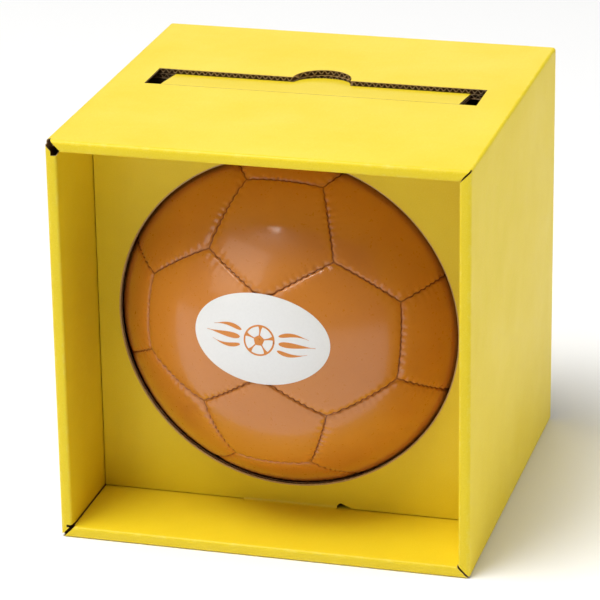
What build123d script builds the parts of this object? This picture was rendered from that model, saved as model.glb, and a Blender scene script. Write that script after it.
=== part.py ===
# A die-cut corrugated-board display box that shows a stitched ball through a round window.
#
# The box is folded from one printed blank: four walls, a front rim folded back on itself, four
# return walls that line a square recess, and a recessed panel with the round window. A panel at
# the rear tucks under the top wall and lets the ball in and out. The ball is thirty-two stitched
# panels over a cloth lining, a rubber bladder and a valve, with an oval label on its front seam.
#
# Millimetres, +Z up. The origin is the centre of the box's footprint, at its base. The window
# looks along -Y and +X is to the right of someone who faces it.

import os
from itertools import combinations
from math import asin, cos, degrees, pi, radians, sin, sqrt

from build123d import *

os.makedirs("parts", exist_ok=True)

# Driving dimensions: the box
width = 236.0
height = 236.0
depth = 229.0
board = 3.0  # one thickness of corrugated board
fold_play = 0.5  # air between a wall and the return wall folded inside it
rim_gap = 1.5  # each rim stops this far short of the corner's mitre line
return_gap = 0.5  # between one return wall and the next, at the recess corners
return_tail = 2.0  # length of a return wall behind the window panel

# The recessed window panel
recess_depth = 59.5  # from the front of the rim to the window panel
window_radius = 98.0
window_height = 117.0  # of the window's centre above the base
window_gap = 0.5  # round the panel's edges, so that it can fold forward
hinge_tab_width = 55.0  # the stretch of the lower edge that stays joined to the floor
relief_width = 9.0  # the cut to the right of the joined stretch opens into a small relief
relief_rise = 2.7

# The slot in the top wall and its tongue
slot_length = 193.0
slot_front = 110.5  # from the front of the rim to the tongue's fold
slot_rear = 140.0  # from the front of the rim to the slot's rear edge
end_hole_width = 9.8
notch_radius = 17.0
cut_gap = 0.6  # between the tongue and the edge that it was cut from
tongue_press = 3.0  # how far the tongue's rear edge is pressed down

# The rear closure
closure_gap = 0.5  # between the rear panel and the walls beside it
tuck_slip = 0.3  # between the tuck flap and the top wall above it
tuck_side_gap = 2.0
tuck_corner_radius = 10.0
dust_flap_length = 80.0
dust_flap_height = 208.0  # top of the flap at its fold, low enough for the tuck flap to pass
dust_flap_taper = 18.0
dust_flap_gap = 0.2  # between a dust flap and the rear panel
glue_flap_height = 28.0
inner_gap = 0.5  # between the loose inner layers and what stands beside them

# The ball
ball_radius = 110.0
ball_y_from_front = 115.0
ball_floor_clearance = 0.5
panel_thickness = 1.8
seam_gap = 0.5
lining_thickness = 0.8
bladder_thickness = 1.0
layer_gap = 0.1
ball_tilt_up = 6.0  # degrees that the front seam's middle is above the horizontal
ball_turn_left = 0.5
ball_lean = 1.6
valve_hole_radius = 4.0
valve_clearance = 0.2
valve_flange_radius = 8.0
valve_flange_thickness = 1.6
needle_bore_radius = 0.8
needle_bore_depth = 3.0

# The label
label_width = 77.0
label_height = 51.0
label_thickness = 0.3
label_lift = 0.05  # of the label's underside above the panels
label_turn = -4.0  # degrees, right end down

# Sizes that follow
front_y = -depth / 2
rear_y = depth / 2
rim_width = 2 * board + fold_play
recess_back = recess_depth + board
return_depth = recess_back + return_tail
side_x = width / 2 - board  # inner face of a side wall
under_top = height - board  # inner face of the top wall
ball_y = front_y + ball_y_from_front
ball_z = 2 * board + ball_floor_clearance + ball_radius
tongue_reach = slot_rear - slot_front
tongue_angle = degrees(asin(tongue_press / tongue_reach))
dust_flap_y = rear_y - board - dust_flap_gap  # rear face of the dust flaps
inner_rear = dust_flap_y - board - inner_gap  # where the loose inner layers end


def finish(part, name):
    part.label = name
    export_step(part, f"parts/{name}.step")


# The four sides, each with its direction along the fold, its outward normal and its place
sides = {
    "top": (Vector(1, 0, 0), Vector(0, 0, 1), Vector(0, front_y, height), width),
    "bottom": (Vector(-1, 0, 0), Vector(0, 0, -1), Vector(0, front_y, 0), width),
    "left": (Vector(0, 0, 1), Vector(-1, 0, 0), Vector(-width / 2, front_y, height / 2), height),
    "right": (Vector(0, 0, -1), Vector(1, 0, 0), Vector(width / 2, front_y, height / 2), height),
}

# Outer walls: plates mitred to each other and to the rims, as the folds of one sheet
slot_middle = (slot_front + slot_rear) / 2
for side, (along, outward, place, span) in sides.items():
    wall_plane = Plane(origin=place, x_dir=along, z_dir=outward)
    rear_mitre = board if side == "bottom" else 0.0
    inner_length = depth - board - rear_mitre
    with BuildPart() as outer_wall:
        with BuildSketch(wall_plane):
            with Locations((0, depth / 2)):
                Rectangle(span, depth)
        with BuildSketch(wall_plane.offset(-board)):
            with Locations((0, board + inner_length / 2)):
                Rectangle(span - 2 * board, inner_length)
        loft(ruled=True)
        if side == "top":
            with BuildSketch(wall_plane):
                with Locations((0, slot_middle)):
                    Rectangle(slot_length, tongue_reach)
                with Locations((0, slot_rear)):
                    Circle(notch_radius)
            extrude(amount=-board, mode=Mode.SUBTRACT)
    finish(outer_wall.part, f"outer_{side}")

# Front rims: the strips between an outer wall's fold and its return wall's fold
for side, (along, outward, place, span) in sides.items():
    rim_plane = Plane(origin=place, x_dir=along, z_dir=(0, 1, 0))
    half = span / 2 - rim_gap
    back = board + fold_play
    with BuildPart() as rim:
        with BuildSketch(rim_plane):
            with BuildLine():
                Polyline(
                    (-half, 0),
                    (half, 0),
                    (half - rim_width, rim_width),
                    (rim_width - half, rim_width),
                    close=True,
                )
            make_face()
        with BuildSketch(rim_plane.offset(board)):
            with BuildLine():
                Polyline(
                    (board - half, board),
                    (half - board, board),
                    (half - back, back),
                    (back - half, back),
                    close=True,
                )
            make_face()
        loft(ruled=True)
    finish(rim.part, f"rim_{side}")

# Return walls: the second layer of board, folded back inside each outer wall
for side, (along, outward, place, span) in sides.items():
    wall_plane = Plane(origin=place, x_dir=along, z_dir=outward)
    return_span = span - 2 * rim_width - 2 * return_gap
    hidden_length = return_depth - board
    with BuildPart() as return_wall:
        with BuildSketch(wall_plane.offset(-rim_width)):
            with Locations((0, return_depth / 2)):
                Rectangle(return_span, return_depth)
        with BuildSketch(wall_plane.offset(-board - fold_play)):
            with Locations((0, board + hidden_length / 2)):
                Rectangle(return_span, hidden_length)
        loft(ruled=True)
    finish(return_wall.part, f"return_{side}")

# The window panel stands between the return walls, joined to the floor by a short fold
panel_bottom = rim_width + window_gap
panel_top = height - rim_width - window_gap
panel_width = width - 2 * rim_width - 2 * window_gap
window_plane = Plane(
    origin=(0, front_y + recess_back, 0), x_dir=(1, 0, 0), z_dir=(0, -1, 0)
)
with BuildPart() as window_panel:
    with BuildSketch(window_plane):
        with Locations((0, (panel_bottom + panel_top) / 2)):
            Rectangle(panel_width, panel_top - panel_bottom)
        with Locations((0, rim_width + window_gap / 2)):
            Rectangle(hinge_tab_width, window_gap)
        with Locations((0, window_height)):
            Circle(window_radius, mode=Mode.SUBTRACT)
        with Locations(((hinge_tab_width + relief_width) / 2, panel_bottom)):
            SlotOverall(relief_width, 2 * relief_rise, mode=Mode.SUBTRACT)
    extrude(amount=board)
finish(window_panel.part, "window_panel")

# The tongue folds at the front of the slot and is pressed down until its rear edge clears
# the thickness of the top wall
tongue_width = slot_length - 2 * end_hole_width
tongue_length = tongue_reach - 2 * cut_gap
tongue_plane = Plane(
    origin=(0, front_y + slot_front, under_top),
    x_dir=(1, 0, 0),
    z_dir=(0, sin(radians(tongue_angle)), cos(radians(tongue_angle))),
)
with BuildPart() as top_tongue:
    with BuildSketch(tongue_plane):
        with Locations((0, cut_gap + tongue_length / 2)):
            Rectangle(tongue_width, tongue_length)
        with Locations((0, tongue_reach)):
            Circle(notch_radius - cut_gap)
    extrude(amount=board)
finish(top_tongue.part, "top_tongue")

# The rear panel closes the back, folded up from the rear edge of the bottom wall
rear_width = 2 * (side_x - closure_gap)
rear_top = under_top - tuck_slip
rear_plane = Plane(origin=(0, rear_y, 0), x_dir=(-1, 0, 0), z_dir=(0, 1, 0))
with BuildPart() as rear_panel:
    with BuildSketch(rear_plane):
        with Locations((0, rear_top / 2)):
            Rectangle(rear_width, rear_top)
    with BuildSketch(rear_plane.offset(-board)):
        with Locations((0, rear_top / 2)):
            Rectangle(rear_width, rear_top - 2 * board)
    loft(ruled=True)
finish(rear_panel.part, "rear_panel")

# Its tuck flap lies under the top wall and ends at the slot, with a notch like the wall's
tuck_width = 2 * (side_x - tuck_side_gap)
tuck_front = front_y + slot_rear + cut_gap
tuck_length = rear_y - tuck_front
tuck_plane = Plane(origin=(0, rear_y, rear_top), x_dir=(-1, 0, 0), z_dir=(0, 0, 1))
with BuildPart() as tuck_flap:
    with BuildSketch(Plane.YZ):
        with BuildLine():
            Polyline(
                (rear_y, rear_top),
                (tuck_front, rear_top),
                (tuck_front, rear_top - board),
                (rear_y - board, rear_top - board),
                close=True,
            )
        make_face()
    extrude(amount=tuck_width / 2, both=True)
    fillet(tuck_flap.edges().filter_by(Axis.Z), tuck_corner_radius)
    with BuildSketch(tuck_plane):
        with Locations((0, tuck_length + cut_gap)):
            Circle(notch_radius + cut_gap)
    extrude(amount=-board, mode=Mode.SUBTRACT)
finish(tuck_flap.part, "tuck_flap")

# Dust flaps: folded in from the side walls, flat against the inside of the rear panel
dust_plane = Plane(origin=(0, dust_flap_y, 0), x_dir=(1, 0, 0), z_dir=(0, -1, 0))
for side, hand in (("left", -1), ("right", 1)):
    fold_x = hand * side_x
    free_x = hand * (side_x - dust_flap_length)
    flap_bottom = board + inner_gap
    with BuildPart() as dust_flap:
        with BuildSketch(dust_plane):
            with BuildLine():
                Polyline(
                    (fold_x, flap_bottom),
                    (free_x, flap_bottom + dust_flap_taper / 2),
                    (free_x, dust_flap_height - dust_flap_taper),
                    (fold_x, dust_flap_height),
                    close=True,
                )
            make_face()
        extrude(amount=board)
    finish(dust_flap.part, f"dust_flap_{side}")

# The glue flap closes the blank into a tube: a strip of the bottom wall, stuck inside the
# left wall
inner_front = front_y + return_depth + inner_gap
inner_length = inner_rear - inner_front
inner_plane = Plane.XY.offset(board)
with BuildPart() as glue_flap:
    with BuildSketch(inner_plane):
        with Locations((board / 2 - side_x, inner_front + inner_length / 2)):
            Rectangle(board, inner_length)
    extrude(amount=glue_flap_height)
finish(glue_flap.part, "glue_flap")

# A loose pad on the floor brings the ball up to the window's height
pad_left = board + inner_gap - side_x
pad_right = side_x - inner_gap
with BuildPart() as floor_pad:
    with BuildSketch(inner_plane):
        with Locations(((pad_left + pad_right) / 2, inner_front + inner_length / 2)):
            Rectangle(pad_right - pad_left, inner_length)
    extrude(amount=board)
finish(floor_pad.part, "floor_pad")

# The ball's panels are the faces of a truncated icosahedron, blown up to a sphere. Pentagons
# sit on an icosahedron's corners and hexagons on its faces, so every seam is a great-circle
# arc between points a third of the way along the icosahedron's edges.
golden = (1 + sqrt(5)) / 2
icosahedron_edge = 2.0
corners = []
for a in (-1, 1):
    for b in (-golden, golden):
        corners += [Vector(0, b, a), Vector(b, a, 0), Vector(a, 0, b)]


def adjacent(first, second):
    return abs((first - second).length - icosahedron_edge) < 0.01


def settle(direction):
    """Turns a direction on the upright ball to how the ball lies in the window."""
    leaned = direction.rotate(Axis.Y, ball_lean)
    tilted = leaned.rotate(Axis.X, -ball_tilt_up)
    return tilted.rotate(Axis.Z, -ball_turn_left)


ball_centre = Vector(0, ball_y, ball_z)
inside_panels = ball_radius - panel_thickness


def ball_plane(direction, towards, distance):
    """A plane square to a direction from the ball's centre, with x towards another one."""
    normal = settle(direction).normalized()
    x_axis = settle(towards) - normal * settle(towards).dot(normal)
    return Plane(origin=ball_centre + normal * distance, x_dir=x_axis, z_dir=normal)


pentagons = []
for corner in corners:
    neighbour = next(other for other in corners if adjacent(corner, other))
    pentagons.append((corner, corner * (2 / 3) + neighbour * (1 / 3)))

hexagons = []
for trio in combinations(corners, 3):
    if all(adjacent(p, q) for p, q in combinations(trio, 2)):
        hexagons.append(((trio[0] + trio[1] + trio[2]) * (1 / 3), trio[0] * (2 / 3) + trio[1] * (1 / 3)))

# The valve is in the hexagon that ends up highest at the back of the ball
valve_direction = max(hexagons, key=lambda hexagon: hexagon[0].Y + hexagon[0].Z)[0]

for kind, panels, side_count in (("pentagon", pentagons, 5), ("hexagon", hexagons, 6)):
    for number, (middle, seam_point) in enumerate(panels, start=1):
        half_angle = radians(middle.get_angle(seam_point))
        pulled_in = seam_gap / 2 / cos(pi / side_count)
        low = inside_panels * cos(half_angle) - panel_thickness
        high = ball_radius + panel_thickness
        with BuildPart() as panel:
            for distance in (low, high):
                with BuildSketch(ball_plane(middle, seam_point, distance)):
                    corner_radius = distance * sin(half_angle) / cos(half_angle) - pulled_in
                    RegularPolygon(corner_radius, side_count)
            loft(ruled=True)
            with Locations(ball_centre):
                Sphere(ball_radius, mode=Mode.INTERSECT)
                Sphere(inside_panels, mode=Mode.SUBTRACT)
            if middle == valve_direction:
                with BuildSketch(ball_plane(middle, seam_point, low)):
                    Circle(valve_hole_radius)
                extrude(amount=high - low, mode=Mode.SUBTRACT)
        finish(panel.part, f"{kind}_panel_{number:02d}")

# Lining and bladder: two thin spherical layers, each with a hole for the valve
lining_outside = inside_panels - layer_gap
lining_inside = lining_outside - lining_thickness
bladder_outside = lining_inside - layer_gap
bladder_inside = bladder_outside - bladder_thickness
valve_x = next(seam_point for middle, seam_point in hexagons if middle == valve_direction)
for name, outside, inside in (
    ("ball_lining", lining_outside, lining_inside),
    ("ball_bladder", bladder_outside, bladder_inside),
):
    with BuildPart() as layer:
        with Locations(ball_centre):
            Sphere(outside)
            Sphere(inside, mode=Mode.SUBTRACT)
        with BuildSketch(ball_plane(valve_direction, valve_x, 0)):
            Circle(valve_hole_radius)
        extrude(amount=ball_radius, mode=Mode.SUBTRACT)
    finish(layer.part, name)

# The valve: a rubber stem through the layers, with a flange inside the bladder and a blind
# bore for the inflation needle
stem_radius = valve_hole_radius - valve_clearance
stem_top = ball_radius - valve_clearance
flange_top = bladder_inside * cos(asin(valve_flange_radius / bladder_inside)) - valve_clearance
with BuildPart() as ball_valve:
    with BuildSketch(ball_plane(valve_direction, valve_x, flange_top)):
        Circle(valve_flange_radius)
    extrude(amount=-valve_flange_thickness)
    with BuildSketch(ball_plane(valve_direction, valve_x, flange_top)):
        Circle(stem_radius)
    extrude(amount=stem_top - flange_top)
    with BuildSketch(ball_plane(valve_direction, valve_x, stem_top)):
        Circle(needle_bore_radius)
    extrude(amount=-needle_bore_depth, mode=Mode.SUBTRACT)
finish(ball_valve.part, "ball_valve")

# The label lies over the middle of the front seam
label_plane = ball_plane(Vector(0, -1, 0), Vector(1, 0, 0), 0)
with BuildPart() as ball_label:
    with BuildSketch(label_plane):
        Ellipse(label_width / 2, label_height / 2, rotation=label_turn)
    extrude(amount=ball_radius + 2 * panel_thickness)
    with Locations(ball_centre):
        Sphere(ball_radius + label_lift + label_thickness, mode=Mode.INTERSECT)
        Sphere(ball_radius + label_lift, mode=Mode.SUBTRACT)
finish(ball_label.part, "ball_label")
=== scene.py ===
from itertools import combinations
from math import asin, ceil, cos, pi, radians, sin, sqrt, tan

import bmesh
import bpy
import numpy as np
from mathutils import Matrix, Vector


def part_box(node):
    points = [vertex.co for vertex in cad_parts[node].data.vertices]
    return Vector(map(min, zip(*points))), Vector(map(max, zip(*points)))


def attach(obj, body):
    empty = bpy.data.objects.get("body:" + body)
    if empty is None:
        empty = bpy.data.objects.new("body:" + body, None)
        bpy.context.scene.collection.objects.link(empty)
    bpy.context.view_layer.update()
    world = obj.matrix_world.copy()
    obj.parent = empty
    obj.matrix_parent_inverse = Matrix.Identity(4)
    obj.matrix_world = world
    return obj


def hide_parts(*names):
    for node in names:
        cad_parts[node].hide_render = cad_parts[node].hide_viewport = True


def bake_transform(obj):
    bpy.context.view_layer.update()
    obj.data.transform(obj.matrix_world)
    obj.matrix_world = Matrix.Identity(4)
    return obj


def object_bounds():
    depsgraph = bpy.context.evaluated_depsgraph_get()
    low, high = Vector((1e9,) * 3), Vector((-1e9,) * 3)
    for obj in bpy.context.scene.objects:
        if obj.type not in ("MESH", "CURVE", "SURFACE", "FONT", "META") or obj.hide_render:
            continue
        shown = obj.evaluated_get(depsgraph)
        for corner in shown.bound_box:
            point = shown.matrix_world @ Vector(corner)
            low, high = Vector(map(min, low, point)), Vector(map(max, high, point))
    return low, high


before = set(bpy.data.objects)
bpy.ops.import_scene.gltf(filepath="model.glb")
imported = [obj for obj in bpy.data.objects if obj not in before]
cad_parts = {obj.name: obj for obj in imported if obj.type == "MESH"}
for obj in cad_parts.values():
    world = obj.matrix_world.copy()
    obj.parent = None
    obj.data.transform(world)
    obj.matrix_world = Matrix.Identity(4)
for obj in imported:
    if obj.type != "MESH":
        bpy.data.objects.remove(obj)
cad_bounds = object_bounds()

# Everything is in metres, +Z up. The origin is the middle of the box's footprint, at its base,
# and the window looks along -Y.

# ---------------------------------------------------------------------------------------------
# The studio: a pale floor, a large soft light overhead, weaker ones in front, to the right and
# behind, and pale surroundings. None of it is part of the object.
floor_reach = 8.0
surround_colour = (1.0, 0.98, 0.94, 1.0)
surround_strength = 0.11
light_target = Vector((0.0, 0.0, 0.1))
camera_lens = 197.67
camera_sensor = 36.0
camera_place = Vector((0.46575, -1.70743, 0.79477))
camera_yaw = radians(-15.497)
camera_pitch = radians(-21.131)
camera_roll = radians(-0.867)
# Each light's place, breadth and power
soft_lights = {
    "overhead": ((-0.9, -1.0, 3.8), 2.2, 168.0),
    "front": ((-1.4, -2.1, 1.3), 1.5, 11.0),
    "right": ((2.1, 0.2, 0.7), 1.2, 15.0),
    "rear": ((-0.6, 3.0, 1.7), 1.8, 14.0),
}

studio = bpy.context.scene
studio.view_settings.view_transform = "Standard"
studio.world = bpy.data.worlds.new("studio")
studio.world.use_nodes = True
surroundings = studio.world.node_tree.nodes["Background"]
surroundings.inputs["Color"].default_value = surround_colour
surroundings.inputs["Strength"].default_value = surround_strength


def deselect():
    """Leaves edit mode with nothing selected."""
    if bpy.context.object and bpy.context.object.mode == "EDIT":
        bpy.ops.object.mode_set(mode="OBJECT")
    bpy.ops.object.select_all(action="DESELECT")


def material(name, roughness, **shader_values):
    """A new material whose Principled shader has these values set on its own sockets."""
    made = bpy.data.materials.new(name)
    made.use_nodes = True
    shader = made.node_tree.nodes["Principled BSDF"]
    shader.inputs["Roughness"].default_value = roughness
    for socket, value in shader_values.items():
        shader.inputs[socket.replace("_", " ")].default_value = value
    return made


def node(made, kind, links=(), **settings):
    """Adds a shader node; links maps its inputs to values or to other nodes' outputs."""
    new = made.node_tree.nodes.new("ShaderNode" + kind)
    for key, value in settings.items():
        setattr(new, key, value)
    for socket, value in dict(links).items():
        if isinstance(value, bpy.types.NodeSocket):
            made.node_tree.links.new(value, new.inputs[socket])
        else:
            new.inputs[socket].default_value = value
    return new


def mixed(made, factor, first, second):
    """Mixes two colours, or colour outputs, by a factor."""
    new = made.node_tree.nodes.new("ShaderNodeMix")
    new.data_type = "RGBA"
    for socket, value in ((0, factor), (6, first), (7, second)):
        if isinstance(value, bpy.types.NodeSocket):
            made.node_tree.links.new(value, new.inputs[socket])
        else:
            new.inputs[socket].default_value = value
    return new.outputs[2]


def shade(made, socket, output):
    """Links an output to one of the Principled shader's inputs."""
    made.node_tree.links.new(output, made.node_tree.nodes["Principled BSDF"].inputs[socket])


deselect()
bpy.ops.mesh.primitive_plane_add(size=floor_reach)
studio_floor = bpy.context.object
studio_floor.name = "studio_floor"
floor_paper = material("studio_paper", 0.9)
paper_cloud = node(floor_paper, "TexNoise", {"Scale": 0.8, "Detail": 1.0})
shade(floor_paper, "Base Color",
      mixed(floor_paper, paper_cloud.outputs["Fac"], (0.95, 0.95, 0.95, 1), (0.97, 0.97, 0.965, 1)))
studio_floor.data.materials.append(floor_paper)

for light_name, (place, size, power) in soft_lights.items():
    deselect()
    bpy.ops.object.light_add(type="AREA", location=place)
    light = bpy.context.object
    light.name = "light_" + light_name
    light.data.size = size
    light.data.energy = power
    aim = light_target - Vector(place)
    light.rotation_euler = aim.to_track_quat("-Z", "Y").to_euler()

forward = Vector((
    sin(camera_yaw) * cos(camera_pitch),
    cos(camera_yaw) * cos(camera_pitch),
    sin(camera_pitch),
))
level_right = forward.cross(Vector((0, 0, 1))).normalized()
level_up = level_right.cross(forward)
camera_right = cos(camera_roll) * level_right + sin(camera_roll) * level_up
camera_up = cos(camera_roll) * level_up - sin(camera_roll) * level_right
deselect()
bpy.ops.object.camera_add()
camera = bpy.context.object
camera.name = "studio_camera"
camera.data.sensor_width = camera_sensor
camera.data.lens = camera_lens
turn = Matrix((camera_right, camera_up, -forward)).transposed()
camera.matrix_world = Matrix.Translation(camera_place) @ turn.to_4x4()
studio.camera = camera

# ---------------------------------------------------------------------------------------------
# The box: one blank of corrugated board, printed yellow outside, folded into four walls, a front
# rim and four return walls that line the recess. Each layer of paper is made by itself: the
# printed liner, the fluted medium and the plain liner inside.
box_low, box_high = cad_bounds
front_y, rear_y = box_low.y, box_high.y
half_width = box_high.x
height = box_high.z
board = 0.003
liner = 0.0004
medium = 0.00026
flute_pitch = 0.0036
flute_steps = 12  # straight lengths in each flute
fine_step = 0.0005  # between the points of a liner whose edge is curved
layer_slack = 0.00003  # between the medium's crests and the liners
rim_width = 0.0065
outer_fold = 0.0019  # radius of the folds between walls
inner_fold = 0.0014  # radius of the fold at the rim's inner edge
return_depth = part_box("return_top")[1].y - front_y
slot_half = 0.0965
slot_front = front_y + 0.1105
slot_rear = front_y + 0.140
notch_radius = 0.017
reach_past = 0.01  # how far a cutter goes past what it cuts
flute_bands = 2 * pi / (20 * flute_pitch)  # a wave texture turns 20 radians in a unit at scale 1
ink_thin = (0.88, 0.680, 0.018, 1)
ink_full = (0.79, 0.590, 0.011, 1)
ink_starved = (0.93, 0.80, 0.16, 1)
ink_pooled = (0.66, 0.46, 0.008, 1)
ink_rubbed = (0.94, 0.82, 0.20, 1)
speck_brown = (0.10, 0.06, 0.03, 1)

# Slots of every piece of board: printed face, printed fold, plain kraft, cut edge
PRINTED, FOLDED, KRAFT, EDGE = range(4)


def spread(made, value, low, high, to_low=0.0, to_high=1.0):
    """Maps a value's range to another one, clamped."""
    new = node(made, "MapRange", {"Value": value, "From Min": low, "From Max": high,
                                  "To Min": to_low, "To Max": to_high})
    return new.outputs["Result"]


def print_over(name, worn, side_flutes, **shader_values):
    """Yellow print on a smooth liner: faint mottle, paper fibre, and the flutes showing through. A
    worn print is rubbed pale. In the side walls the flutes lie one above another."""
    made = material(name, 0.5, Specular_IOR_Level=0.3, **shader_values)
    place = node(made, "TexCoord").outputs["Object"]
    mottle = node(made, "TexNoise", {"Vector": place, "Scale": 22.0, "Detail": 3.0, "Roughness": 0.55})
    fibre = node(made, "TexNoise", {"Vector": place, "Scale": 1400.0, "Detail": 3.0, "Roughness": 0.7})
    ink = mixed(made, mottle.outputs["Fac"], ink_thin, ink_full)
    pale_specks = spread(made, fibre.outputs["Fac"], 0.56, 0.74, 0.0, 0.35)
    ink = mixed(made, pale_specks, ink, ink_starved)
    dark_specks = spread(made, fibre.outputs["Fac"], 0.44, 0.28, 0.0, 0.35)
    ink = mixed(made, dark_specks, ink, ink_pooled)
    if worn:
        chafe = node(made, "TexNoise", {"Vector": place, "Scale": 160.0, "Detail": 6.0, "Roughness": 0.7})
        rubbed = spread(made, chafe.outputs["Fac"], 0.50, 0.74, 0.0, 0.35)
        ink = mixed(made, rubbed, ink, ink_rubbed)
    shade(made, "Base Color", ink)
    ridges = node(made, "TexWave", {"Vector": place, "Scale": flute_bands}, bands_direction="X")
    bands = ridges.outputs["Fac"]
    if side_flutes:
        side_ridges = node(made, "TexWave", {"Vector": place, "Scale": flute_bands}, bands_direction="Z")
        bands = node(made, "Math", {0: bands, 1: side_ridges.outputs["Fac"]}).outputs[0]
    washboard = node(made, "Bump", {"Height": bands, "Strength": 0.10, "Distance": 0.00015})
    soft_dents = node(made, "TexNoise", {"Vector": place, "Scale": 60.0, "Detail": 2.0})
    dents = node(made, "Bump", {"Height": soft_dents.outputs["Fac"], "Strength": 0.35, "Distance": 0.0009,
                                "Normal": washboard.outputs["Normal"]})
    grain = node(made, "Bump", {"Height": fibre.outputs["Fac"], "Strength": 0.10 + 0.3 * worn,
                                "Distance": 0.00012, "Normal": dents.outputs["Normal"]})
    shade(made, "Normal", grain.outputs["Normal"])
    shade(made, "Roughness", spread(made, mottle.outputs["Fac"], 0.3, 0.7, 0.42, 0.52))
    return made


def kraft_paper(name, pale, dark, scale):
    """Unprinted recycled paper: long fibres, dark specks, a dull surface."""
    made = material(name, 0.85, Specular_IOR_Level=0.2)
    place = node(made, "TexCoord").outputs["Object"]
    stretched = node(made, "Mapping", {"Vector": place, "Scale": (1.0, 0.25, 0.5)}).outputs["Vector"]
    fibre = node(made, "TexNoise", {"Vector": stretched, "Scale": scale, "Detail": 5.0, "Roughness": 0.7})
    cloud = node(made, "TexNoise", {"Vector": place, "Scale": 30.0, "Detail": 3.0})
    specks = node(made, "TexNoise", {"Vector": place, "Scale": 2200.0, "Detail": 1.0})
    tone = node(made, "Math", {0: fibre.outputs["Fac"], 1: cloud.outputs["Fac"]}, operation="MULTIPLY")
    paper = mixed(made, spread(made, tone.outputs[0], 0.12, 0.42), dark, pale)
    speckled = spread(made, specks.outputs["Fac"], 0.70, 0.76, 0.0, 0.6)
    paper = mixed(made, speckled, paper, speck_brown)
    shade(made, "Base Color", paper)
    bump = node(made, "Bump", {"Height": fibre.outputs["Fac"], "Strength": 0.4, "Distance": 0.0002})
    shade(made, "Normal", bump.outputs["Normal"])
    return made


varnish = {"Coat_Weight": 0.05, "Coat_Roughness": 0.3}
printed_walls = print_over("printed_walls", worn=False, side_flutes=True, **varnish)
printed_folds = print_over("printed_folds", worn=True, side_flutes=True)
printed_flats = print_over("printed_flats", worn=False, side_flutes=False, **varnish)
kraft = kraft_paper("kraft_liner", (0.44, 0.27, 0.125, 1), (0.30, 0.175, 0.075, 1), 900.0)
cut_paper = kraft_paper("cut_paper_edge", (0.60, 0.43, 0.22, 1), (0.36, 0.23, 0.11, 1), 1600.0)
wall_slots = (printed_walls, printed_folds, kraft, cut_paper)
flat_slots = (printed_flats, printed_folds, kraft, cut_paper)
plain_slots = (kraft, kraft, kraft, cut_paper)


def add_block(name, low, high):
    """A cube primitive between two corners, left in edit mode with its object at the origin."""
    deselect()
    bpy.ops.mesh.primitive_cube_add(size=1.0, enter_editmode=True)
    bpy.ops.transform.resize(value=Vector(high) - Vector(low), center_override=(0, 0, 0))
    bpy.ops.transform.translate(value=(Vector(high) + Vector(low)) / 2)
    block = bpy.context.object
    block.name = name
    return block


def pick(kind, test):
    """Selects the active mesh's verts, edges or faces that pass a test."""
    bpy.ops.mesh.select_mode(type={"verts": "VERT", "edges": "EDGE", "faces": "FACE"}[kind])
    bpy.ops.mesh.select_all(action="DESELECT")
    mesh = bmesh.from_edit_mesh(bpy.context.object.data)
    for element in getattr(mesh, kind):
        if test(element):
            element.select_set(True)
    mesh.select_flush_mode()
    bmesh.update_edit_mesh(bpy.context.object.data)


def choose(piece):
    """Selects one piece alone and makes it the active object."""
    deselect()
    piece.select_set(True)
    bpy.context.view_layer.objects.active = piece


def thicken(sheet, thickness, offset, back=0, rim=0):
    """Gives a sheet its thickness; back and rim are steps to those faces' material slots."""
    choose(sheet)
    solid = sheet.modifiers.new("thickness", "SOLIDIFY")
    solid.thickness = thickness
    solid.offset = offset
    solid.use_even_offset = True
    solid.material_offset = back
    solid.material_offset_rim = rim
    bpy.ops.object.modifier_apply(modifier="thickness")


def join(name, parts):
    """Joins the layers of one piece into one object."""
    deselect()
    for part in parts:
        part.select_set(True)
    bpy.context.view_layer.objects.active = parts[0]
    bpy.ops.object.join()
    parts[0].name = name
    parts[0].data.name = name
    return parts[0]


def cut(piece, cutters):
    """Cuts a piece with each cutter, and removes the cutters. The cut faces take the cutter's
    material, or else show paper edge."""
    for cutter in cutters:
        if not cutter.data.materials:
            cutter.data.materials.append(cut_paper)
        choose(piece)
        knife = piece.modifiers.new("cut", "BOOLEAN")
        knife.operation = "DIFFERENCE"
        knife.solver = "EXACT"
        knife.material_mode = "TRANSFER"
        knife.object = cutter
        bpy.ops.object.modifier_apply(modifier="cut")
        bpy.data.objects.remove(cutter)


def cutter_block(low, high, turned=(0, 0, 0), place=(0, 0, 0)):
    """A block to cut with, turned and then put in its place."""
    cutter = add_block("cutter", low, high)
    deselect()
    cutter.rotation_euler = turned
    cutter.location = place
    bpy.context.view_layer.update()
    return cutter


def cutter_cylinder(radius, place, reach, across=(0.0, 0.0, 0.0), steps=96):
    """A cylinder to cut with, along Z unless it is turned."""
    deselect()
    bpy.ops.mesh.primitive_cylinder_add(
        vertices=steps, radius=radius, depth=reach, location=place, rotation=across
    )
    return bpy.context.object


def finish_piece(piece, body, slot, *nodes, angle=32.0):
    """Smooths a piece's rounded faces and ties it to the frame."""
    choose(piece)
    bpy.ops.object.shade_smooth_by_angle(angle=radians(angle))
    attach(piece, body)
    if nodes:
        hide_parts(*nodes)


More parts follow.
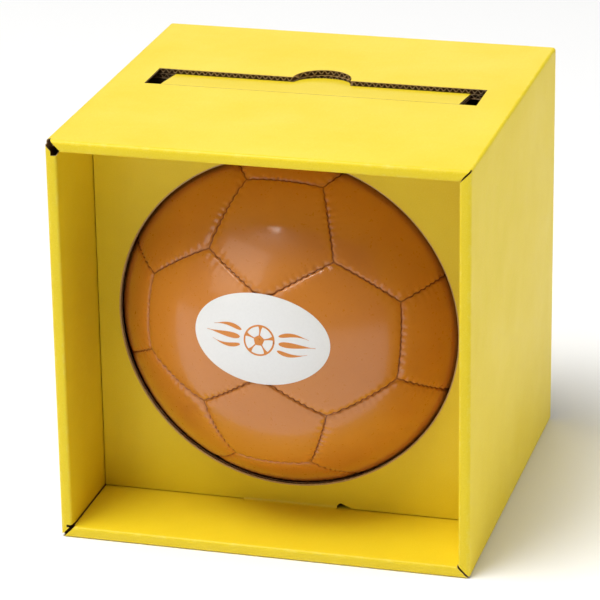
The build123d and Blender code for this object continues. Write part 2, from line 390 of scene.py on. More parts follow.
def folded_layer(shift):
    """One liner of the folded walls, rims and return walls, shift below the printed face."""
    low = Vector((shift - half_width, front_y + shift, shift))
    high = Vector((half_width - shift, rear_y, height - shift))
    sheet = add_block("folded_walls", low, high)
    for paper in wall_slots:
        sheet.data.materials.append(paper)
    pick("faces", lambda face: face.normal.y > 0.9)
    bpy.ops.mesh.delete(type="ONLY_FACE")
    pick("faces", lambda face: face.normal.y < -0.9)
    bpy.ops.mesh.inset(thickness=rim_width - 2 * shift)
    bpy.ops.mesh.extrude_region_move(
        TRANSFORM_OT_translate={"value": (0.0, return_depth - shift, 0.0)}
    )
    bpy.ops.mesh.delete(type="FACE")

    mouth = half_width - rim_width + shift + liner / 2

    def outermost(vertex):
        between_floor_and_top = low.z + liner / 2 < vertex.co.z < high.z - liner / 2
        return abs(vertex.co.x) > high.x - liner / 2 and not between_floor_and_top

    def at_recess_mouth(vertex):
        if vertex.co.y > low.y + liner / 2:
            return False
        return abs(vertex.co.x) < mouth and abs(vertex.co.z - height / 2) < mouth

    def round_off(radius, steps):
        least = liner / 2
        bpy.ops.mesh.bevel(
            offset=max(radius - shift, least), segments=steps, affect="EDGES", material=FOLDED
        )

    def is_fold(edge):
        return len(edge.link_faces) == 2 and edge.calc_face_angle(0.0) > 1.0

    pick("edges", lambda edge: is_fold(edge) and all(outermost(v) for v in edge.verts))
    round_off(outer_fold, 5)
    pick("edges", lambda edge: is_fold(edge) and all(at_recess_mouth(v) for v in edge.verts))
    round_off(inner_fold, 4)
    thicken(sheet, liner, -1.0, back=KRAFT, rim=EDGE)
    return sheet


def wave_height(u):
    """How far the medium is from its middle plane at a distance u across the flutes."""
    return (board / 2 - liner - medium / 2 - layer_slack) * sin(2 * pi * u / flute_pitch)


def paper_layer(place, breadth, low_edge, high_edge, depth, waved, columns, rows, slots, face_slot):
    """One flat or fluted paper of a board: a grid bent to its place, still without thickness."""
    deselect()
    bpy.ops.mesh.primitive_grid_add(x_subdivisions=columns, y_subdivisions=rows, size=1.0)
    sheet = bpy.context.object
    for vertex in sheet.data.vertices:
        u = breadth[0] + (vertex.co.x + 0.5) * (breadth[1] - breadth[0])
        low, high = low_edge(u), high_edge(u)
        v = low + (vertex.co.y + 0.5) * (high - low)
        vertex.co = place(u, v, depth - (wave_height(u) if waved else 0.0))
    for paper in slots:
        sheet.data.materials.append(paper)
    for face in sheet.data.polygons:
        face.material_index = face_slot
    return sheet


def corrugated(name, place, breadth, low_edge, high_edge, slots, fine=False, rows=1):
    """A board of two liners and a fluted medium. place(u, v, depth) is the point u across the
    flutes, v along them and depth below the outer face; the edges end the flutes at each u."""
    span = breadth[1] - breadth[0]
    flat_columns = ceil(span / fine_step) if fine else 1
    waved_columns = ceil(span / flute_pitch * flute_steps)
    layers = []
    for depth, thickness, waved, columns in (
        (liner / 2, liner, False, flat_columns),
        (board / 2, medium, True, waved_columns),
        (board - liner / 2, liner, False, flat_columns),
    ):
        printed = not layers
        face_slot = PRINTED if printed else KRAFT
        sheet = paper_layer(
            place, breadth, low_edge, high_edge, depth, waved, columns, rows, slots, face_slot
        )
        thicken(sheet, thickness, 0.0, back=KRAFT if printed else 0, rim=EDGE if printed else 1)
        layers.append(sheet)
    return join(name, layers)


layers = []
for shift in (0.0, board - liner):
    layer = folded_layer(shift)
    if shift:
        for face in layer.data.polygons:
            face.material_index = KRAFT if face.material_index < EDGE else EDGE
    layers.append(layer)

# The medium in the top wall, whose flutes show at the slot and at the rear edge
top_medium = paper_layer(
    lambda u, v, depth: Vector((u, v, height - depth)),
    (board - half_width, half_width - board),
    lambda u: front_y + board,
    lambda u: rear_y - liner,
    board / 2, True, ceil(2 * (half_width - board) / flute_pitch * flute_steps), 1,
    wall_slots, KRAFT,
)
thicken(top_medium, medium, 0.0)
layers.append(top_medium)
folded_walls = join("folded_walls", layers)

wall_cutters = [
    cutter_block(
        (-slot_half, slot_front, height - board - reach_past),
        (slot_half, slot_rear, height + reach_past),
    ),
    cutter_cylinder(notch_radius, (0.0, slot_rear, height), 3 * board),
]
# The rims meet in open mitres, each as wide as the folding left it, and the return walls meet with
# a narrow gap along the corners of the recess
mitre_depth = 0.0036
mitre_start = 0.001  # how far outside the corner a mitre's cutter starts
mitre_end = 1.1 * rim_width * sqrt(2)
return_start = board * sqrt(2) + liner
return_gap = 0.0009
mitre_widths = {(-1, 1): 0.0042, (-1, -1): 0.0017, (1, 1): 0.0010, (1, -1): 0.0012}
for (hand, level), mitre in mitre_widths.items():
    corner = Vector((hand * half_width, front_y, height if level > 0 else 0.0))
    tilt = (0.0, radians(-45.0 * hand * level), 0.0)
    inward = -hand
    for start, end, cut_depth, breadth in (
        (-mitre_start, mitre_end, mitre_depth, mitre),
        (return_start, mitre_end, return_depth + reach_past, return_gap),
    ):
        near, far = sorted((inward * start, inward * end))
        wall_cutters.append(cutter_block(
            (near, -reach_past, -breadth / 2), (far, cut_depth, breadth / 2), tilt, corner
        ))
# On the left the return wall's front corners are clipped, so the gaps run on into the recess
clip_length = 0.013
clip_start = -0.001
clip_overlap = 0.0004
for level, clip_depth in ((1, 0.0022), (-1, 0.0012)):
    wall_cutters.append(cutter_block(
        (board + liner / 2, clip_start, -clip_depth if level > 0 else -clip_overlap),
        (rim_width + liner / 2, clip_length, clip_overlap if level > 0 else clip_depth),
        (level * asin(clip_depth / clip_length), 0.0, 0.0),
        (-half_width, front_y, height - rim_width if level > 0 else rim_width),
    ))
cut(folded_walls, wall_cutters)
wall_nodes = [
    f"{part}_{side}"
    for part in ("outer", "rim", "return")
    for side in ("top", "bottom", "left", "right")
]
finish_piece(folded_walls, "box", "printed_board", *wall_nodes)

# ---------------------------------------------------------------------------------------------
# The window panel: the same printed board, folded up from the floor of the recess, with a round
# die-cut window. Its lower edge is joined only in the middle; a relief cut ends the join.
window_low, window_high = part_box("window_panel")
window_rise = 0.117  # of the window's centre
window_centre = Vector((0.0, (window_low.y + window_high.y) / 2, window_rise))
window_radius = 0.098
hinge_half = 0.0275
relief_width = 0.009
relief_rise = 0.0027
window_gap = 0.0005
window_steps = 256  # straight lengths round the window


def window_low_edge(u):
    """The panel's lower edge: the joined stretch, then the relief that tapers away."""
    free_edge = window_low.z + window_gap
    into_relief = u - hinge_half
    if abs(u) <= hinge_half:
        return window_low.z + layer_slack
    if not 0 < into_relief < relief_width:
        return free_edge
    if into_relief < relief_rise:
        return free_edge + sqrt(relief_rise**2 - (relief_rise - into_relief) ** 2)
    return free_edge + relief_rise * (relief_width - into_relief) / (relief_width - relief_rise)


window_panel = corrugated(
    "window_board",
    lambda u, v, depth: Vector((u, window_low.y + depth, v)),
    (window_low.x, window_high.x),
    window_low_edge,
    lambda u: window_high.z,
    flat_slots,
    fine=True,
)
crushed_width = 0.0008  # the die leaves a ring of the printed liner crushed to bare paper
crushed_depth = 0.00038
crushed_pale = (0.70, 0.48, 0.20, 1)
crushed_dark = (0.52, 0.33, 0.12, 1)
deselect()
bpy.ops.mesh.primitive_cone_add(
    vertices=window_steps,
    radius1=window_radius,
    radius2=window_radius + 2 * crushed_width,
    depth=2 * crushed_depth,
    location=(0.0, window_low.y, window_rise),
    rotation=(pi / 2, 0, 0),
)
crushed_ring = bpy.context.object
crushed_ring.data.materials.append(kraft_paper("crushed_liner", crushed_pale, crushed_dark, 1600.0))
cut(window_panel, [
    crushed_ring,
    cutter_cylinder(window_radius, window_centre, 3 * board, (pi / 2, 0, 0), window_steps),
])
# smoothed only a little, so that the flat print isn't shaded by the slope of its crushed edge
finish_piece(window_panel, "window", "printed_board", "window_panel", angle=15.0)

# The fold itself: a small round of printed paper between the recess floor and the panel
fold_radius = 0.0016
fold_steps = 6
deselect()
bpy.ops.mesh.primitive_plane_add(size=1.0, enter_editmode=True)
pick("edges", lambda edge: all(v.co.x > 0 for v in edge.verts))
bpy.ops.mesh.subdivide(number_cuts=fold_steps - 1)
bpy.ops.object.mode_set(mode="OBJECT")
fold_strip = bpy.context.object
arc_verts = sorted((v for v in fold_strip.data.vertices if v.co.x > 0), key=lambda v: v.co.y)
for vertex in fold_strip.data.vertices:
    drop = liner if vertex.co.y < 0 else 0
    vertex.co = Vector((-hinge_half, window_low.y + liner, window_low.z - drop))
for step, vertex in enumerate(arc_verts):
    turned = pi / 2 * step / fold_steps
    vertex.co = Vector((
        -hinge_half,
        window_low.y - fold_radius * (1 - sin(turned)),
        window_low.z + fold_radius * (1 - cos(turned)),
    ))
bpy.ops.object.mode_set(mode="EDIT")
bpy.ops.mesh.select_all(action="SELECT")
bpy.ops.mesh.remove_doubles(threshold=0.000001)
bpy.ops.mesh.extrude_region_move(TRANSFORM_OT_translate={"value": (2 * hinge_half, 0.0, 0.0)})
bpy.ops.mesh.select_all(action="SELECT")
bpy.ops.mesh.normals_make_consistent(inside=False)
bpy.ops.object.mode_set(mode="OBJECT")
fold_strip.name = "window_fold"
fold_strip.data.materials.append(printed_flats)
choose(fold_strip)
bpy.ops.object.shade_smooth_by_angle(angle=radians(40))
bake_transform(fold_strip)

# ---------------------------------------------------------------------------------------------
# The tongue: cut out of the top wall on three sides and pressed down until its rear edge clears
# the wall. A half-round tab on it fits the thumb notch.
cut_gap = 0.0006  # between the tab and the notch
hole_width = 0.0098  # of the relief hole at each end
tongue_half = slot_half - hole_width
tongue_press = 0.003
soft_start = 0.003  # the stretch over which the pressed fold starts to slope
crease_lift = radians(7.0)  # the crease is crushed to a wedge, so the tongue can also be lifted


def tongue_place(u, v, depth):
    """The tongue's top falls from the wall's top at its fold to tongue_press at its free edge."""
    along = v - slot_front
    room = layer_slack + (board - depth) * tan(crease_lift)
    v += room * max(0.0, 1 - along / notch_radius)
    slope = tongue_press / (slot_rear - slot_front - soft_start)
    fall = slope * (sqrt(along**2 + soft_start**2) - soft_start)
    return Vector((u, v, height - fall - depth))


def tongue_free_edge(u):
    """The rear edge, with the half-round tab in the middle."""
    tab = notch_radius - cut_gap
    return slot_rear + (sqrt(tab**2 - u**2) if abs(u) < tab else 0.0)


top_tongue = corrugated(
    "pressed_tongue", tongue_place, (-tongue_half, tongue_half),
    lambda u: slot_front, tongue_free_edge, flat_slots, fine=True, rows=12,
)
finish_piece(top_tongue, "tongue", "printed_board", "top_tongue")

# ---------------------------------------------------------------------------------------------
# The closure: a panel folded up from the rear of the bottom wall, and a tuck flap that slides
# under the top wall as far as the slot. The fold between them is one piece of board, parted here
# along its mitre because the flap turns by itself.
rear_low, rear_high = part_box("rear_panel")
tuck_low, tuck_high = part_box("tuck_flap")
tuck_corner = 0.010
tuck_notch = notch_radius + cut_gap
tuck_fold = 0.0017  # radius of the fold's outer corner
crowding = 2.2  # how strongly the rows of each mesh crowd towards the fold that they share


def tuck_front_edge(u):
    """The flap's free edge: rounded corners, and a notch like the top wall's."""
    into_corner = abs(u) - (tuck_high.x - tuck_corner)
    if into_corner > 0:
        return tuck_low.y + tuck_corner - sqrt(max(tuck_corner**2 - into_corner**2, 0.0))
    if abs(u) < tuck_notch:
        return tuck_low.y + sqrt(tuck_notch**2 - u**2) - cut_gap
    return tuck_low.y


def rounded_mitre(out, up, fold_out, fold_up):
    """Rounds the outer corner of the fold between two boards that meet at a right angle."""
    beyond = Vector((fold_out - out, fold_up - up))
    if beyond.x < tuck_fold and beyond.y < tuck_fold:
        off = Vector((tuck_fold - beyond.x, tuck_fold - beyond.y))
        if off.length > tuck_fold:
            off = off * (tuck_fold / off.length)
        return fold_out - tuck_fold + off.x, fold_up - tuck_fold + off.y
    return out, up


def rear_place(u, v, depth):
    """The rear panel, its top cut back along the mitre and its outer corner rounded."""
    share = 1 - (1 - v / rear_high.z) ** crowding
    up = depth + share * (rear_high.z - 2 * depth)
    out, up = rounded_mitre(rear_high.y - depth, up, rear_high.y, rear_high.z)
    return Vector((-u, out, up))


def tuck_place(u, v, depth):
    """The tuck flap, its rear end cut back along the same mitre."""
    length = tuck_high.y - tuck_front_edge(u)
    v = tuck_high.y - length * ((tuck_high.y - v) / length) ** crowding
    share = (v - tuck_low.y) / (tuck_high.y - tuck_low.y)
    out, up = rounded_mitre(v - share * depth, tuck_high.z - depth, tuck_high.y, tuck_high.z)
    return Vector((u, out, up))


rear_panel = corrugated(
    "rear_closing_panel", rear_place, (rear_low.x, rear_high.x),
    lambda u: 0.0, lambda u: rear_high.z, flat_slots, rows=28,
)
finish_piece(rear_panel, "closure", "printed_board", "rear_panel")
tuck_flap = corrugated(
    "tuck_in_flap", tuck_place, (tuck_low.x, tuck_high.x),
    tuck_front_edge, lambda u: tuck_high.y, plain_slots, fine=True, rows=16,
)
finish_piece(tuck_flap, "closure_flap", "kraft_board", "tuck_flap")

# ---------------------------------------------------------------------------------------------
# Inside the box, plain board: two tapered dust flaps folded in before the rear panel, the flap
# that is glued to the left wall to close the blank, and a loose pad that lifts the ball.
dust_taper = 0.018
dust_length = 0.080
for hand, side in ((-1, "left"), (1, "right")):
    dust_low, dust_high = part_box(f"dust_flap_{side}")

    def towards_free_end(u, dust_low=dust_low, dust_high=dust_high, hand=hand):
        x = -u
        fold_x = dust_high.x if hand > 0 else dust_low.x
        return abs(x - fold_x) / dust_length

    dust_flap = corrugated(
        f"dust_board_{side}",
        lambda u, v, depth, dust_high=dust_high: Vector((-u, dust_high.y - depth, v)),
        (-dust_high.x, -dust_low.x),
        lambda u, end=towards_free_end, low=dust_low: low.z + end(u) * dust_taper / 2,
        lambda u, end=towards_free_end, high=dust_high: high.z - end(u) * dust_taper,
        plain_slots,
    )
    finish_piece(dust_flap, "box", "kraft_board", f"dust_flap_{side}")

glue_low, glue_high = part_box("glue_flap")
glue_flap = corrugated(
    "glued_flap",
    lambda u, v, depth: Vector((glue_high.x - depth, v, -u)),
    (-glue_high.z, -glue_low.z),
    lambda u: glue_low.y,
    lambda u: glue_high.y,
    plain_slots,
)
finish_piece(glue_flap, "box", "kraft_board", "glue_flap")

pad_low, pad_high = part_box("floor_pad")
floor_pad = corrugated(
    "floor_pad_board",
    lambda u, v, depth: Vector((u, v, pad_high.z - depth)),
    (pad_low.x, pad_high.x),
    lambda u: pad_low.y,
    lambda u: pad_high.y,
    plain_slots,
)
finish_piece(floor_pad, "box", "kraft_board", "floor_pad")

# ---------------------------------------------------------------------------------------------
# The ball: twelve pentagons and twenty hexagons of coated leather, stitched inside out, so that
# every edge rolls into its seam and the stitches pucker it.
lining_low, lining_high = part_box("ball_lining")
ball_centre = (lining_low + lining_high) / 2
ball_radius = 0.110
panel_thickness = 0.0018
seam_gap = 0.00003
seam_steps = 46  # straight lengths along one seam
seam_depth = 0.00100  # of the sharp groove at the stitches
seam_breadth = 0.00060
roll_depth = 0.00050  # of the soft roll towards the seam
roll_breadth = 0.0027
stitch_pitch = 0.0043
pucker_depth = 0.00120
pucker_reach = 0.0021
stitch_sway = 0.00032  # how far the stitches pull the seam to and fro
sway_reach = 0.0022
mark_reach = 0.0022  # of the seam mark beside a seam: the seam's own darker line, with painted shade in its groove
least_thickness = 0.0002  # of a panel, at its deepest puckers
seam_crowding = 0.7  # how much of each panel's mesh crowds towards its seams
stitch_unevenness = 1.5
uneven_waves = 210.0
wander_waves = np.array(((61.0, 47.0, 83.0), (29.0, 71.0, 37.0)))  # along which puckers deepen and fade
seam_compass = np.array((0.37, 0.61, 0.70))  # settles which way along or across a seam is positive
hide_pale = (0.63, 0.225, 0.026, 1)
hide_deep = (0.53, 0.170, 0.018, 1)
hide_second = (0.52, 0.165, 0.018, 1)
hide_flecks = (0.45, 0.13, 0.014, 1)
# the seam's own darker colour, with painted shade of the seam's groove
seam_dark_and_groove_shade = (0.20, 0.050, 0.007, 1)
ball_lie = (
    Matrix.Rotation(radians(-0.5), 3, "Z")
    @ Matrix.Rotation(radians(-6.0), 3, "X")
    @ Matrix.Rotation(radians(1.6), 3, "Y")
)

leather = material("ball_leather", 0.3, Specular_IOR_Level=0.5, Coat_Weight=0.5, Coat_Roughness=0.11)
leather_place = node(leather, "TexCoord").outputs["Object"]
hide_tone = node(leather, "TexNoise",
                 {"Vector": leather_place, "Scale": 26.0, "Detail": 4.0, "Roughness": 0.6})
hide_fleck = node(leather, "TexNoise",
                  {"Vector": leather_place, "Scale": 420.0, "Detail": 3.0, "Roughness": 0.7})
pore = node(leather, "TexVoronoi", {"Vector": leather_place, "Scale": 1100.0}, feature="DISTANCE_TO_EDGE")
seam_mark = node(leather, "Attribute", attribute_name="seam").outputs["Fac"]
panel_tone = node(leather, "Attribute", attribute_name="tone").outputs["Fac"]
hide = mixed(leather, hide_tone.outputs["Fac"], hide_deep, hide_pale)
hide = mixed(leather, spread(leather, panel_tone, 0.0, 1.0, 0.0, 0.25), hide, hide_second)
flecked = spread(leather, hide_fleck.outputs["Fac"], 0.55, 0.8, 0.0, 0.25)
hide = mixed(leather, flecked, hide, hide_flecks)
# darkens the leather right at each seam: the seam's own darker line, and painted shade in the groove
hide = mixed(leather, spread(leather, seam_mark, 0.72, 0.93, 0.0, 0.85), hide, seam_dark_and_groove_shade)
shade(leather, "Base Color", hide)
pore_bump = node(leather, "Bump", {"Height": spread(leather, pore.outputs["Distance"], 0.0, 0.12),
                                   "Strength": 0.12, "Distance": 0.00008})
hide_bump = node(leather, "Bump", {"Height": hide_tone.outputs["Fac"], "Strength": 0.25, "Distance": 0.0012,
                                   "Normal": pore_bump.outputs["Normal"]})
shade(leather, "Normal", hide_bump.outputs["Normal"])
hide_dull = spread(leather, hide_fleck.outputs["Fac"], 0.3, 0.7, 0.26, 0.36)
seam_dull = spread(leather, seam_mark, 0.6, 0.9, 0.0, 0.5)
shade(leather, "Roughness", node(leather, "Math", {0: hide_dull, 1: seam_dull}).outputs[0])

panel_back = material("panel_backing", 0.9)
back_place = node(panel_back, "TexCoord").outputs["Object"]
back_weave = node(panel_back, "TexNoise", {"Vector": back_place, "Scale": 900.0, "Detail": 2.0})
shade(panel_back, "Base Color",
      mixed(panel_back, back_weave.outputs["Fac"], (0.62, 0.55, 0.42, 1), (0.45, 0.38, 0.27, 1)))


def unit(vector):
    """The vector made one long."""
    return vector / np.linalg.norm(vector)


def fan(name, sides, steps):
    """A flat polygon of triangles with its first corner on +Y, each side in this many steps."""
    deselect()
    bpy.ops.mesh.primitive_circle_add(vertices=sides, radius=1.0, fill_type="TRIFAN", enter_editmode=True)
    bpy.ops.mesh.select_all(action="SELECT")
    bpy.ops.mesh.subdivide(number_cuts=steps - 1)
    bpy.ops.object.mode_set(mode="OBJECT")
    bpy.context.object.name = name
    return bpy.context.object


def points_of(piece):
    """A piece's points, one to a row."""
    points = np.empty(len(piece.data.vertices) * 3)
    piece.data.vertices.foreach_get("co", points)
    return points.reshape(-1, 3)


def seam_pull(towards, outward, side_middle, along, half_seam):
    """What one seam does to a panel's points: how far each is from it, how deep it draws them in,
    and how its stitches sway them."""
    wall = unit(np.cross(side_middle, along))
    wall = wall if wall @ outward > 0 else -wall
    distance = np.maximum(ball_radius * np.arcsin(np.clip(towards @ wall, -1, 1)), 0.0)
    # the two panels of a seam count along it in the same direction, so their stitches agree
    forwards = 1.0 if along @ seam_compass > 0 else -1.0
    position = forwards * ball_radius * np.arctan2(towards @ along, towards @ side_middle)
    unevenness = stitch_unevenness * np.sin(position * uneven_waves)
    stitches = np.cos(2 * pi * position / stitch_pitch + unevenness)
    # the seam sways along its whole length, but not at its two ends, where three panels meet
    free_stretch = np.clip(1 - (np.abs(position) / half_seam) ** 6, 0.0, 1.0)
    held = free_stretch * np.exp(-distance / sway_reach)
    across = 1.0 if wall @ seam_compass > 0 else -1.0
    sway = (across * stitch_sway * held * stitches)[:, None] * wall
    wander = 0.65 + 0.35 * np.sin(towards @ wander_waves[0]) * np.sin(towards @ wander_waves[1])
    pulled = (0.5 + 0.5 * stitches) ** 1.5
    drop = seam_depth * np.exp(-((distance / seam_breadth) ** 2))
    drop += roll_depth * np.exp(-((distance / roll_breadth) ** 2))
    drop += pucker_depth * wander * pulled * np.exp(-distance / pucker_reach)
    return distance, drop, sway


def ball_panel(name, sides, middle, seam_point, tone):
    """One panel: a fan of triangles, spread over the sphere and drawn in at its seams."""
    panel = fan(name, sides, seam_steps)
    flat = points_of(panel)[:, :2]
    count = len(flat)
    outward = unit(np.array(ball_lie @ Vector(middle)))
    seam_way = np.array(ball_lie @ Vector(seam_point))
    half_angle = np.arccos(unit(seam_way) @ outward)
    up_way = unit(seam_way - outward * (seam_way @ outward))
    side_way = np.cross(up_way, outward)
    apothem = cos(pi / sides)
    # side k is half a step on from corner k
    side_turns = [2 * pi * (k + 0.5) / sides for k in range(sides)]
    side_normals = np.array([(sin(turn), cos(turn)) for turn in side_turns])
    outness = (flat @ side_normals.T).max(axis=1) / apothem
    closer = (1 - seam_crowding) * outness + seam_crowding * np.sin(outness * pi / 2)
    flat = flat * (closer / np.maximum(outness, 1e-9))[:, None]
    corner_reach = np.tan(half_angle) - seam_gap / 2 / ball_radius / apothem
    towards = outward + corner_reach * (flat[:, :1] * side_way + flat[:, 1:] * up_way)
    towards /= np.linalg.norm(towards, axis=1)[:, None]

    pulls = []
    for turn in side_turns:
        side_reach = np.tan(half_angle) * apothem
        side_middle = unit(outward + side_reach * (sin(turn) * side_way + cos(turn) * up_way))
        along = cos(turn) * side_way - sin(turn) * up_way
        half_seam = ball_radius * np.arctan(np.tan(half_angle) * sin(pi / sides) * (side_middle @ outward))
        pulls.append(seam_pull(towards, outward, side_middle, along, half_seam))
    distances, drops, sways = zip(*pulls)
    drop = np.minimum(sum(drops), panel_thickness - least_thickness)
    towards += sum(sways) / ball_radius
    towards /= np.linalg.norm(towards, axis=1)[:, None]
    top = np.array(ball_centre) + towards * (ball_radius - drop)[:, None]
    panel.data.vertices.foreach_set("co", top.ravel())
    for skin in (leather, panel_back):
        panel.data.materials.append(skin)
    thicken(panel, panel_thickness / 2, -1.0, back=1, rim=0)

    # the back stays smooth, a panel's thickness below the ball's sphere
    every = points_of(panel)
    every[count:] = np.array(ball_centre) + towards * (ball_radius - panel_thickness)
    panel.data.vertices.foreach_set("co", every.ravel())
    seam_closeness = np.clip(1 - np.min(distances, axis=0) / mark_reach, 0, 1)
    for key, values in (("seam", seam_closeness), ("tone", np.full(count, tone))):
        mark = panel.data.attributes.new(key, "FLOAT", "POINT")
        backs = np.full(len(every) - count, values.max())
        mark.data.foreach_set("value", np.concatenate([values, backs]))
    panel.data.update()
    return panel


golden = (1 + sqrt(5)) / 2
corners = []
for a in (-1, 1):
    for b in (-golden, golden):
        corners += [Vector((0, b, a)), Vector((b, a, 0)), Vector((a, 0, b))]


def adjacent(first, second):
    """Whether two corners of the icosahedron share an edge, which is 2 long."""
    return abs((first - second).length - 2.0) < 0.01


pentagons = []
for corner in corners:
    neighbour = next(other for other in corners if adjacent(corner, other))
    pentagons.append((corner, corner * (2 / 3) + neighbour * (1 / 3)))
hexagons = []
for trio in combinations(corners, 3):
    if all(adjacent(p, q) for p, q in combinations(trio, 2)):
        hexagons.append((sum(trio, Vector()) / 3, trio[0] * (2 / 3) + trio[1] * (1 / 3)))
valve_direction = max(hexagons, key=lambda hexagon: hexagon[0].y + hexagon[0].z)[0]
valve_hole = 0.0040

for kind, sides, panels in (("pentagon", 5, pentagons), ("hexagon", 6, hexagons)):
    for number, (middle, seam_point) in enumerate(panels, start=1):
        tone = (number * golden) % 1.0
        panel = ball_panel(f"{kind}_leather_{number:02d}", sides, middle, seam_point, tone)
        if middle == valve_direction:
            outward = (ball_lie @ middle).normalized()
            cut(panel, [cutter_cylinder(
                valve_hole, ball_centre + outward * ball_radius, 4 * panel_thickness,
                outward.to_track_quat("Z", "Y").to_euler(), 48,
            )])
        finish_piece(panel, "ball", "ball_panels", f"{kind}_panel_{number:02d}", angle=60.0)

# Inside the panels: a woven cotton lining and a latex bladder, whose valve is a moulded plug
lining_cloth = material("lining_cloth", 0.95)
cloth_place = node(lining_cloth, "TexCoord").outputs["Object"]
warp = node(lining_cloth, "TexWave", {"Vector": cloth_place, "Scale": 500.0}, bands_direction="X")
weft = node(lining_cloth, "TexWave", {"Vector": cloth_place, "Scale": 500.0}, bands_direction="Z")
weave = node(lining_cloth, "Math", {0: warp.outputs["Fac"], 1: weft.outputs["Fac"]}, operation="MULTIPLY")
shade(lining_cloth, "Base Color",
      mixed(lining_cloth, weave.outputs[0], (0.55, 0.52, 0.45, 1), (0.80, 0.77, 0.70, 1)))
weave_bump = node(lining_cloth, "Bump", {"Height": weave.outputs[0], "Strength": 0.5, "Distance": 0.0003})
shade(lining_cloth, "Normal", weave_bump.outputs["Normal"])


def rubber(name, pale, dark):
    """Moulded rubber with a little bloom on it."""
    made = material(name, 0.6)
    place = node(made, "TexCoord").outputs["Object"]
    bloom = node(made, "TexNoise", {"Vector": place, "Scale": 120.0, "Detail": 5.0})
    shade(made, "Base Color", mixed(made, bloom.outputs["Fac"], dark, pale))
    skin = node(made, "Bump", {"Height": bloom.outputs["Fac"], "Strength": 0.2, "Distance": 0.0003})
    shade(made, "Normal", skin.outputs["Normal"])
    shade(made, "Roughness", spread(made, bloom.outputs["Fac"], 0.3, 0.7, 0.5, 0.7))
    return made


for cad_name, finish in (
    ("ball_lining", lining_cloth),
    ("ball_bladder", rubber("bladder_latex", (0.10, 0.09, 0.08, 1), (0.05, 0.045, 0.04, 1))),
    ("ball_valve", rubber("valve_rubber", (0.09, 0.06, 0.04, 1), (0.04, 0.025, 0.018, 1))),
):
    for slot_of_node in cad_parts[cad_name].material_slots:
        slot_of_node.material = finish

# ---------------------------------------------------------------------------------------------
# The label: an oval patch of off-white coated paper stuck over the front seam, printed in orange
# with a plain ornament, a small ball between two tapered flourishes.
label_half = (0.0385, 0.0255)
label_thickness = 0.0003
label_lift = 0.00005
label_turn = radians(-4.0)
label_bevel = 0.03  # the share of the label over which its edge is pressed down
ink_lift = 0.00004
label_out = ball_lie @ Vector((0, -1, 0))
label_right = ball_lie @ Vector((1, 0, 0))
label_up = label_out.cross(label_right)

label_paper = material("label_paper", 0.38, Coat_Weight=0.25, Coat_Roughness=0.25)
label_coords = node(label_paper, "TexCoord").outputs["Object"]
label_cloud = node(label_paper, "TexNoise", {"Vector": label_coords, "Scale": 700.0, "Detail": 4.0})
shade(label_paper, "Base Color",
      mixed(label_paper, label_cloud.outputs["Fac"], (0.78, 0.78, 0.77, 1), (0.84, 0.84, 0.83, 1)))
label_bump = node(label_paper, "Bump",
                  {"Height": label_cloud.outputs["Fac"], "Strength": 0.08, "Distance": 0.0001})
shade(label_paper, "Normal", label_bump.outputs["Normal"])
label_ink = material("label_ink", 0.4)
ink_coords = node(label_ink, "TexCoord").outputs["Object"]
ink_cloud = node(label_ink, "TexNoise", {"Vector": ink_coords, "Scale": 900.0, "Detail": 4.0})
shade(label_ink, "Base Color",
      mixed(label_ink, ink_cloud.outputs["Fac"], (0.62, 0.20, 0.028, 1), (0.70, 0.26, 0.045, 1)))


def on_label(right, up, lift):
    """A point on the label, right and up from its middle, lift above the panels' sphere."""
    across = right * cos(label_turn) - up * sin(label_turn)
    above = right * sin(label_turn) + up * cos(label_turn)
    radius = ball_radius + lift
    outness = sqrt(radius**2 - across**2 - above**2)
    return ball_centre + label_out * outness + label_right * across + label_up * above


label = fan("oval_label", 96, 10)
for vertex in label.data.vertices:
    outness = vertex.co.xy.length
    pressed = max(0.0, (outness - 1 + label_bevel) / label_bevel)
    edge_drop = label_thickness * 0.5 * pressed**2
    vertex.co = on_label(vertex.co.x * label_half[0], vertex.co.y * label_half[1],
                         label_lift + label_thickness - edge_drop)
label.data.materials.append(label_paper)
thicken(label, label_thickness * 0.5, -1.0)
finish_piece(label, "ball", "label_paper", "ball_label", angle=60.0)


def printed_shape(points_across, points_along, shape):
    """A patch of ink: a grid whose points shape(s, t) puts on the label, s and t from 0 to 1."""
    deselect()
    bpy.ops.mesh.primitive_grid_add(x_subdivisions=points_along, y_subdivisions=points_across, size=1.0)
    patch = bpy.context.object
    for vertex in patch.data.vertices:
        right, up = shape(vertex.co.x + 0.5, vertex.co.y + 0.5)
        vertex.co = on_label(right, up, label_lift + label_thickness + ink_lift)
    patch.data.materials.append(label_ink)
    thicken(patch, ink_lift * 0.9, -1.0)
    return patch


def ring_shape(radius, line):
    """A ring of ink round the label's middle."""
    def shape(s, t):
        reach = radius - line * t
        return reach * cos(2 * pi * s), reach * sin(2 * pi * s)
    return shape


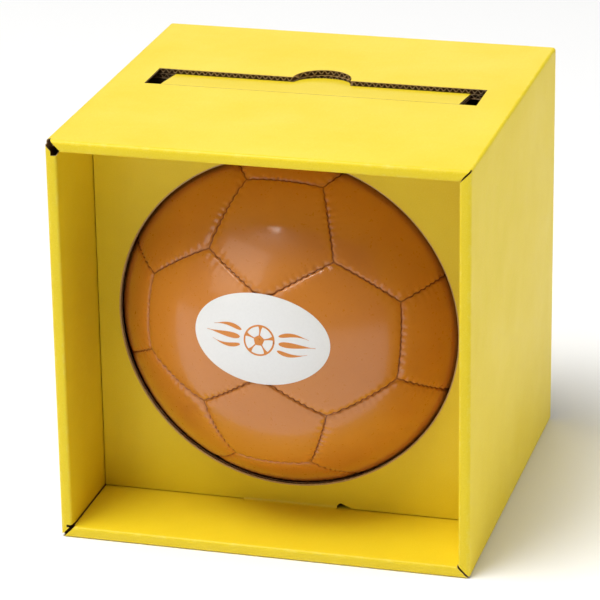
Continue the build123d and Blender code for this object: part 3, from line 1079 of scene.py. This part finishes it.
def flourish_shape(hand, level, start, length, thick, curl):
    """A stroke that starts narrow, is broadest a quarter of the way along, and tapers to a tip."""
    def shape(s, t):
        swell = thick * (0.12 + sin(pi * min(s * 1.15, 1.0) ** 0.6)) * (1 - 0.25 * s)
        right = start + length * s
        up = level + curl * sin(pi * s) * (1.0 if level >= 0 else -1.0) + (t - 0.5) * swell
        return hand * right, up
    return shape


def pentagon_shape(radius):
    """A filled pentagon of ink, one corner up, for the small ball's middle panel."""
    def shape(s, t):
        angle = pi / 2 + 2 * pi * s
        half_side = pi / 5
        within = (2 * pi * s) % (2 * half_side) - half_side
        reach = radius * cos(half_side) / cos(within) * max(t, 0.001)
        return reach * cos(angle), reach * sin(angle)
    return shape


emblem_radius = 0.0088
emblem_line = 0.0010
emblem_middle = 0.0033
spoke_start = 0.0030
spoke_length = 0.0052
spoke_breadth = 0.0007
spoke_flare = 0.0022
ink_patches = [
    printed_shape(1, 72, ring_shape(emblem_radius, emblem_line)),
    printed_shape(1, 30, pentagon_shape(emblem_middle)),
]
for spoke in range(5):
    angle = pi / 2 + spoke * 2 * pi / 5
    spoke_way = Vector((cos(angle), sin(angle)))

    def spoke_shape(s, t, way=spoke_way):
        breadth = spoke_breadth + spoke_flare * s**3
        point = way * (spoke_start + spoke_length * s) + Vector((-way.y, way.x)) * (t - 0.5) * breadth
        return point.x, point.y

    ink_patches.append(printed_shape(1, 8, spoke_shape))
for hand in (-1, 1):
    for level, start, length, thick, curl in (
        (0.0042, 0.0105, 0.0165, 0.0022, 0.0016),
        (0.0, 0.0110, 0.0200, 0.0030, 0.0),
        (-0.0042, 0.0105, 0.0165, 0.0022, 0.0016),
    ):
        flourish = flourish_shape(hand, level, start, length, thick, curl)
        ink_patches.append(printed_shape(2, 28, flourish))
ornament = join("label_ornament", ink_patches)
choose(ornament)
bpy.ops.object.mode_set(mode="EDIT")
bpy.ops.mesh.select_all(action="SELECT")
bpy.ops.mesh.remove_doubles(threshold=0.000002)
bpy.ops.mesh.normals_make_consistent(inside=False)
bpy.ops.object.mode_set(mode="OBJECT")
finish_piece(ornament, "ball", "label_paper", angle=60.0)
